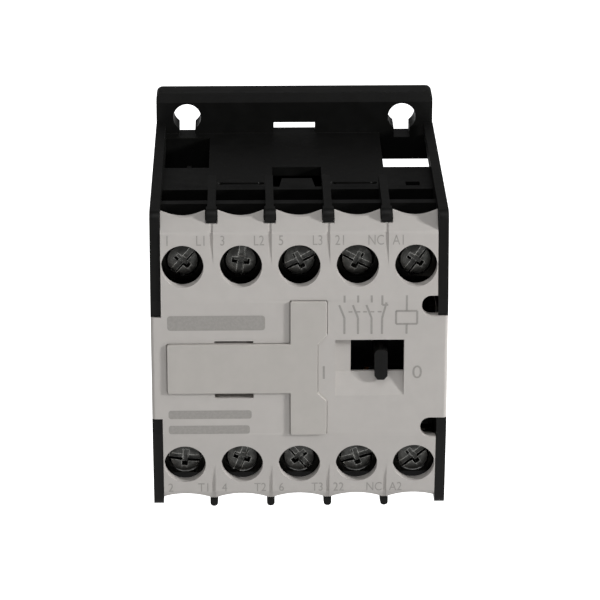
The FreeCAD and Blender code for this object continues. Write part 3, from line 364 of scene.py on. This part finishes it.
def evaluated_mesh(item):
    """The mesh that an object has once its modifiers or its text are worked out."""
    bpy.context.view_layer.update()
    return bpy.data.meshes.new_from_object(item.evaluated_get(bpy.context.evaluated_depsgraph_get()))


def add_piece(name, points, faces, slot, body, material=None):
    """A mesh object that rides on a body; its material is its slot's unless another is named."""
    mesh = new_mesh(name, points, faces)
    mesh.materials.append(MATERIALS[material or slot])
    return add_object(name, mesh, body)


def add_object(name, mesh, body, location=(0, 0, 0), turn=0.0):
    """A piece that rides on a body, placed and turned about its own Y axis."""
    item = new_object(name, mesh)
    item.location = location
    item.rotation_euler = (0, turn, 0)
    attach(item, body)
    return item


def grid_faces(rows, across):
    """Quads of an open tube: rows of points, each row a ring."""
    faces = []
    for row in range(rows - 1):
        for i in range(across):
            first = row * across + i
            second = row * across + (i + 1) % across
            faces.append((first, second, second + across, first + across))
    return faces


def lathe(profile, across):
    """Turn (radius, depth) points about the Y axis; both ends are closed."""
    points = []
    for radius, depth in profile:
        for i in range(across):
            angle = math.tau * i / across
            points.append((radius * math.cos(angle), depth, radius * math.sin(angle)))
    faces = grid_faces(len(profile), across)
    last = (len(profile) - 1) * across
    faces.append(tuple(range(across)))
    faces.append(tuple(reversed(range(last, last + across))))
    return points, faces


# Terminal screw: its own origin is the middle of the head's underside, with the head towards -Y.
HEAD_RADIUS = 2.56 * MM
HEAD_HEIGHT = 1.8 * MM
SHANK_RADIUS = 1.72 * MM
THREAD_DEPTH = 0.2 * MM
THREAD_PITCH = 0.6 * MM
SLOT_WIDTH = 1.05 * MM
SLOT_DEPTH = 0.95 * MM
CROSS_REACH = 1.5 * MM
HEAD_SIDES = 64
SHANK_SIDES = 40


def cutter_box(half_x, half_z, depth, taper):
    """A box through the top of the head, narrower at its floor by the taper."""
    top = -HEAD_HEIGHT - 0.5 * MM
    floor = -HEAD_HEIGHT + depth
    points = []
    for y, share in ((top, 1.0), (floor, taper)):
        for sign_x, sign_z in ((-1, -1), (1, -1), (1, 1), (-1, 1)):
            points.append((sign_x * half_x * share, y, sign_z * half_z * share))
    faces = [(0, 1, 2, 3), (7, 6, 5, 4), (0, 4, 5, 1), (1, 5, 6, 2), (2, 6, 7, 3), (3, 7, 4, 0)]
    return new_object("cutter", new_mesh("cutter", points, faces))


def cut(item, cutter):
    """Take the cutter's volume out of the item."""
    modifier = item.modifiers.new("cut", "BOOLEAN")
    modifier.operation = "DIFFERENCE"
    modifier.solver = "EXACT"
    modifier.object = cutter


def screw_head_mesh():
    """Domed head with a slot and a shorter cross groove."""
    dome = 0.22 * MM
    edge = 0.3 * MM
    underside_edge = 0.08 * MM
    profile = [(SHANK_RADIUS, 0.0), (HEAD_RADIUS - underside_edge, 0.0), (HEAD_RADIUS, -underside_edge),
               (HEAD_RADIUS, -HEAD_HEIGHT + dome + edge)]
    for share in (1.0, 0.6, 0.3, 0.01):
        profile.append(((HEAD_RADIUS - edge) * share, -HEAD_HEIGHT + dome * share * share))
    points, faces = lathe(profile, HEAD_SIDES)
    head = new_object("head_blank", new_mesh("head_blank", points, faces))
    cutters = [
        cutter_box(SLOT_WIDTH / 2, HEAD_RADIUS * 1.4, SLOT_DEPTH, 0.85),
        cutter_box(CROSS_REACH, SLOT_WIDTH / 2, SLOT_DEPTH * 1.2, 0.7),
    ]
    for cutter in cutters:
        cut(head, cutter)
    add_bevel(head, NARROW_EDGE * MM, math.radians(35))
    finished = evaluated_mesh(head)
    for item in (head, *cutters):
        bpy.data.objects.remove(item)
    return finished


def threaded_shank(length):
    """Shank along +Y with a modelled thread that runs out at both ends."""
    across = SHANK_SIDES
    rows_per_turn = 8
    run_in_rows = 6
    run_out_rows = 10
    rows = int(length / THREAD_PITCH * rows_per_turn)
    points = []
    for row in range(rows + 1):
        depth = length * row / rows
        fade = min(1.0, row / run_in_rows, (rows - row) / run_out_rows)
        for i in range(across):
            turn = i / across
            phase = (depth / THREAD_PITCH - turn) % 1.0
            crest = 1 - abs(2 * phase - 1)
            radius = SHANK_RADIUS - THREAD_DEPTH * (1 - crest * fade)
            points.append((radius * math.cos(math.tau * turn), depth, radius * math.sin(math.tau * turn)))
    faces = grid_faces(rows + 1, across)
    faces.append(tuple(reversed(range(rows * across, (rows + 1) * across))))
    return points, faces


def screw_mesh(length):
    """Head and shank in one mesh, shared by the ten screws."""
    head = screw_head_mesh()
    points = [tuple(vertex.co) for vertex in head.vertices]
    faces = [tuple(polygon.vertices) for polygon in head.polygons]
    shank_points, shank_faces = threaded_shank(length)
    base = len(points)
    faces += [tuple(base + i for i in face) for face in shank_faces]
    mesh = new_mesh("terminal_screw", points + shank_points, faces)
    mesh.materials.append(MATERIALS["screw_steel"])
    mesh.shade_smooth()
    mesh.set_sharp_from_angle(angle=math.radians(30))
    return mesh


# Each screw stopped at its own angle when it was last turned, in degrees.
SCREW_TURNS = {"1": 41, "3": 8, "5": 63, "21": 118, "a1": 35, "2": 96, "4": 20, "6": 140, "22": 74, "a2": 52}


def add_screws():
    """Ten detailed screws in the places of the plain ones; all ten have the same length."""
    first_low, first_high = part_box("terminal_screw_1")
    shared = screw_mesh(first_high.y - first_low.y - HEAD_HEIGHT)
    for name, degrees in SCREW_TURNS.items():
        low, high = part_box(f"terminal_screw_{name}")
        middle = (low + high) / 2
        place = (middle.x, low.y + HEAD_HEIGHT, middle.z)
        item = add_object(f"screw_{name}_detail", shared, f"screw_{name}", place,
                          math.radians(degrees))
        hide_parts(f"terminal_screw_{name}")


# Wire radius and open turns of each kind of spring.
RETURN_SPRING = (0.25 * MM, 6)
CONTACT_SPRING = (0.22 * MM, 4)
CLIP_SPRING = (0.18 * MM, 7)


def coil_points(length, radius, wire, turns):
    """Centre line of a compression spring along +Z: closed end turns, open turns between them."""
    steps = 24
    total = int((turns + 2) * steps)
    rise = length - 2 * wire
    points = []
    for step in range(total + 1):
        turn = step / steps
        share = min(max((turn - 1) / turns, 0.0), 1.0)
        lift = wire + (rise - 4 * wire) * share + 2 * wire * (min(turn, 1.0) + max(turn - turns - 1, 0.0))
        angle = math.tau * turn
        points.append(Vector((radius * math.cos(angle), radius * math.sin(angle), lift)))
    return points


def tube(path, radius, across=10):
    """Round wire along a path, closed at both ends."""
    points = []
    for i, centre in enumerate(path):
        along = (path[min(i + 1, len(path) - 1)] - path[max(i - 1, 0)]).normalized()
        out = Vector((centre.x, centre.y, 0)).normalized()
        side = along.cross(out).normalized()
        for k in range(across):
            angle = math.tau * k / across
            points.append(centre + radius * (math.cos(angle) * out + math.sin(angle) * side))
    faces = grid_faces(len(path), across)
    last = (len(path) - 1) * across
    faces.append(tuple(reversed(range(across))))
    faces.append(tuple(range(last, last + across)))
    return points, faces


def add_spring(node, body, axis, wire, turns):
    """Wound spring in the place of a CAD spring; axis is the letter of its long direction."""
    low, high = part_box(node)
    middle = (low + high) / 2
    size = high - low
    across = min(size["xyz".index(other)] for other in "xyz" if other != axis)
    points, faces = tube(coil_points(size["xyz".index(axis)], across / 2 - wire, wire, turns), wire)
    if axis == "x":
        placed = [Vector((low.x + p.z, middle.y + p.x, middle.z + p.y)) for p in points]
    else:
        placed = [Vector((middle.x + p.x, middle.y + p.y, low.z + p.z)) for p in points]
    item = add_piece(f"{node}_wound", placed, faces, "spring_steel", body)
    item.data.shade_smooth()
    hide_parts(node)
    return item


def add_springs():
    """Wound springs in the places of the CAD ones; all but the opening pole's get a mesh of their own."""
    for name in ("upper", "lower"):
        node = f"return_spring_{name}"
        item = add_spring(node, "housing", "x", *RETURN_SPRING)
        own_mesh(item)
    for pole in ("1_2", "3_4", "5_6"):
        node = f"contact_spring_{pole}"
        item = add_spring(node, "carrier", "x", *CONTACT_SPRING)
        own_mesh(item)
    add_spring("contact_spring_21_22", "carrier", "x", *CONTACT_SPRING)
    item = add_spring("rail_clip_spring", "housing", "z", *CLIP_SPRING)
    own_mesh(item)


# ---------------------------------------------------------------- printed marks

PITCH = 8.8 * MM
PRINT_GAP = 0.012 * MM
STROKE = 0.32 * MM
UPPER_MARKS = (("1", "L1"), ("3", "L2"), ("5", "L3"), ("21", "NC"), ("A1", ""))
LOWER_MARKS = (("2", "T1"), ("4", "T2"), ("6", "T3"), ("22", "NC"), ("A2", ""))


def front_surface():
    """The faces that carry print, for finding how far forward they are."""
    points = []
    faces = []
    for name in ("front_cover", "marker_plate"):
        mesh = NODES[name].data
        base = len(points)
        points += [vertex.co.copy() for vertex in mesh.vertices]
        faces += [[base + i for i in polygon.vertices] for polygon in mesh.polygons]
    return BVHTree.FromPolygons(points, faces)


SURFACE = front_surface()


def lay_on_front(flat_points):
    """Put (x, z) points just in front of the cover's face."""
    laid = []
    for x, z in flat_points:
        hit = SURFACE.ray_cast(Vector((x, -0.1, z)), Vector((0, 1, 0)))[0]
        if hit is None:
            raise ValueError(f"print at x {x}, z {z} is off the cover")
        laid.append((x, hit.y - PRINT_GAP, z))
    return laid


def letters(text, x, z, height, narrow=0.8):
    """Flat (x, z) points and faces of a short text of this height, centred on x and z."""
    curve = bpy.data.curves.new("letters", "FONT")
    curve.body = text
    item = new_object("letters", curve)
    mesh = evaluated_mesh(item)
    bpy.data.objects.remove(item)
    xs = [vertex.co.x for vertex in mesh.vertices]
    ys = [vertex.co.y for vertex in mesh.vertices]
    scale = height / (max(ys) - min(ys))
    middle_x = (max(xs) + min(xs)) / 2
    middle_y = (max(ys) + min(ys)) / 2
    points = []
    for own_x, own_y in zip(xs, ys):
        points.append((x + (own_x - middle_x) * scale * narrow, z + (own_y - middle_y) * scale))
    return points, [tuple(polygon.vertices) for polygon in mesh.polygons]


def stroke(path, width=STROKE):
    """Flat (x, z) points and faces of a printed line, in short steps so that it follows the cover's slope."""
    step = 0.5 * MM
    points = []
    faces = []
    for (x1, z1), (x2, z2) in zip(path, path[1:]):
        length = math.hypot(x2 - x1, z2 - z1)
        side_x = -(z2 - z1) / length * width / 2
        side_z = (x2 - x1) / length * width / 2
        pieces = max(1, round(length / step))
        base = len(points)
        for i in range(pieces + 1):
            x = x1 + (x2 - x1) * i / pieces
            z = z1 + (z2 - z1) * i / pieces
            points += [(x - side_x, z - side_z), (x + side_x, z + side_z)]
        faces += [(base + 2 * i, base + 2 * i + 2, base + 2 * i + 3, base + 2 * i + 1) for i in range(pieces)]
    return points, faces


def rounded_bar(left, right, low, high, radius):
    """Flat outline of a bar with round corners."""
    points = []
    corners = ((right - radius, low + radius, -90), (right - radius, high - radius, 0),
               (left + radius, high - radius, 90), (left + radius, low + radius, 180))
    for x, z, start in corners:
        for step in range(5):
            angle = math.radians(start + step * 22.5)
            points.append((x + radius * math.cos(angle), z + radius * math.sin(angle)))
    return points, [tuple(range(len(points)))]


def add_marks(name, parts):
    """Join flat outlines into one printed piece on the cover."""
    points = []
    faces = []
    for flat, own_faces in parts:
        base = len(points)
        points += flat
        faces += [tuple(base + i for i in face) for face in own_faces]
    add_piece(name, lay_on_front(points), faces, "marker_plastic", "housing", "print")


def terminal_marks(pairs, z):
    """A number to the left and a mark to the right of each screw hole."""
    offset = 2.75 * MM
    height = 1.5 * MM
    first_inset = 0.5 * MM
    parts = []
    for index, pair in enumerate(pairs):
        column = (index - 2) * PITCH
        inset = first_inset if index == 0 else 0.0
        for text, x in zip(pair, (column - offset + inset, column + offset)):
            if text:
                parts.append(letters(text, x, z, height))
    return parts


def circuit_marks():
    """Circuit diagram: three closing contacts, an opening one, their link and the coil."""
    top, bottom = 11.7 * MM, 5.5 * MM
    blade_top, pivot = 10.2 * MM, 8.1 * MM
    gap = 0.4 * MM
    lean = 0.8 * MM
    parts = []
    for x in (6.8 * MM, 8.85 * MM, 10.9 * MM):
        parts.append(stroke([(x, top), (x, blade_top + gap)]))
        parts.append(stroke([(x - lean, blade_top), (x, pivot), (x, bottom)]))
    opening = 12.5 * MM
    hook = 0.9 * MM
    parts.append(stroke([(opening, top), (opening, blade_top), (opening + hook, blade_top)]))
    parts.append(stroke([(opening + hook * 0.7, blade_top + gap), (opening, pivot), (opening, bottom)]))
    link = 9.1 * MM
    dash = 0.6 * MM
    for x in (7.4 * MM, 8.6 * MM, 9.6 * MM, 10.7 * MM, 11.8 * MM):
        parts.append(stroke([(x, link), (x + dash, link)], STROKE * 0.7))
    left, right, low, high = 14.6 * MM, 17.8 * MM, 7.1 * MM, 9.2 * MM
    middle = (left + right) / 2
    parts.append(stroke([(left, low), (right, low), (right, high), (left, high), (left, low)]))
    parts.append(stroke([(middle, high), (middle, top)]))
    parts.append(stroke([(middle, low), (middle, bottom)]))
    return parts


def add_printed_marks():
    """Terminal numbers, circuit diagram, indicator positions, and plain bars in place of names."""
    add_marks("terminal_marks_upper", terminal_marks(UPPER_MARKS, 20.15 * MM))
    add_marks("terminal_marks_lower", terminal_marks(LOWER_MARKS, -20.4 * MM))
    add_marks("circuit_marks", circuit_marks())
    level, height, width = -0.75 * MM, 2.1 * MM, 1.1
    add_marks("position_marks", [letters("I", 3.7 * MM, level, height, width),
                                 letters("0", 17.9 * MM, level, height, width)])
    left = -20.0 * MM
    type_corner = 0.4 * MM
    add_marks("name_bar", [rounded_bar(left, -5.2 * MM, 6.2 * MM, 8.6 * MM, 0.5 * MM)])
    add_marks("type_bars", [rounded_bar(left, -7.3 * MM, -8.3 * MM, -6.9 * MM, type_corner),
                            rounded_bar(left, -7.6 * MM, -10.8 * MM, -9.4 * MM, type_corner)])


add_screws()
add_springs()
add_printed_marks()


# ---------------------------------------------------------------- stage, lights and camera

def area_light(name, location, target, size, power):
    """A square soft light that faces its target."""
    lamp = bpy.data.lights.new(name, "AREA")
    lamp.energy = power
    lamp.size = size
    item = new_object(name, lamp)
    item.location = location
    item.rotation_euler = (Vector(target) - Vector(location)).to_track_quat("-Z", "Y").to_euler()
    return item


def build_floor():
    """A plain white floor well below the object; only the camera sees its glow."""
    drop = 60 * MM
    reach = 6.0
    glow = 0.8
    corners = [(-reach, -reach, 0), (reach, -reach, 0), (reach, reach, 0), (-reach, reach, 0)]
    mesh = new_mesh("floor", corners, [(0, 1, 2, 3)])
    floor = new_object("floor", mesh)
    floor.location = (0, 0, cad_box[0].z - drop)
    shader = Shader("floor")
    shade = shader.mix(shader.noise(3.0, 2.0), srgb(250, 250, 250), srgb(246, 246, 246))
    shader.set(Base_Color=shade, Roughness=0.9)
    shader.principled.inputs["Specular IOR Level"].default_value = 0.0
    shader.principled.inputs["Emission Color"].default_value = (1, 1, 1, 1)
    seen = shader.node("ShaderNodeLightPath").outputs["Is Camera Ray"]
    shader.set(Emission_Strength=shader.remap(seen, 0.0, 1.0, 0.0, glow))
    mesh.materials.append(shader.material)


def build_world():
    """A white world for the camera, which lights the object only faintly."""
    seen_world, lighting_world = 1.1, 0.15
    world = bpy.data.worlds.new("studio")
    bpy.context.scene.world = world
    world.use_nodes = True
    tree = world.node_tree
    background = tree.nodes["Background"]
    seen = tree.nodes.new("ShaderNodeLightPath")
    strength = tree.nodes.new("ShaderNodeMapRange")
    strength.inputs["To Min"].default_value = lighting_world
    strength.inputs["To Max"].default_value = seen_world
    tree.links.new(seen.outputs["Is Camera Ray"], strength.inputs["Value"])
    tree.links.new(strength.outputs["Result"], background.inputs["Strength"])
    background.inputs["Color"].default_value = (1, 1, 1, 1)


def build_lights():
    """A fairly small key far round to the right and a little above, and large weak lights for the rest."""
    centre = (cad_box[0] + cad_box[1]) / 2
    key_distance = 1.2
    key_place = centre + Vector((2.6, -1.0, 0.95)).normalized() * key_distance
    area_light("key", key_place, centre, size=0.16, power=12.4)
    area_light("front_fill", (-0.25, -1.0, 0.95), centre, size=0.8, power=0.7)
    area_light("left_fill", (-0.9, -0.45, 0.25), centre, size=0.6, power=0.8)
    area_light("top", (0.05, -0.45, 0.95), centre, size=0.6, power=3.0)
    rear = area_light("rear", (-0.35, 0.75, 0.35), centre, size=0.6, power=3.0)
    rear.visible_glossy = False


def build_camera():
    """Long lens, a little to the left of centre and about 21 degrees above the object."""
    pitch = math.radians(20.94)
    turn = math.radians(1.0)
    place = (-7.66 * MM, -494.9 * MM, 180.73 * MM)
    data = bpy.data.cameras.new("camera")
    data.lens = 189
    data.sensor_width = 36
    data.clip_start = 0.01
    item = new_object("camera", data)
    bpy.context.scene.camera = item
    forward = Vector((math.sin(turn) * math.cos(pitch), math.cos(turn) * math.cos(pitch), -math.sin(pitch)))
    item.location = place
    item.rotation_euler = forward.to_track_quat("-Z", "Y").to_euler()


build_floor()
build_world()
build_lights()
build_camera()
bpy.context.scene.view_settings.view_transform = "Standard"
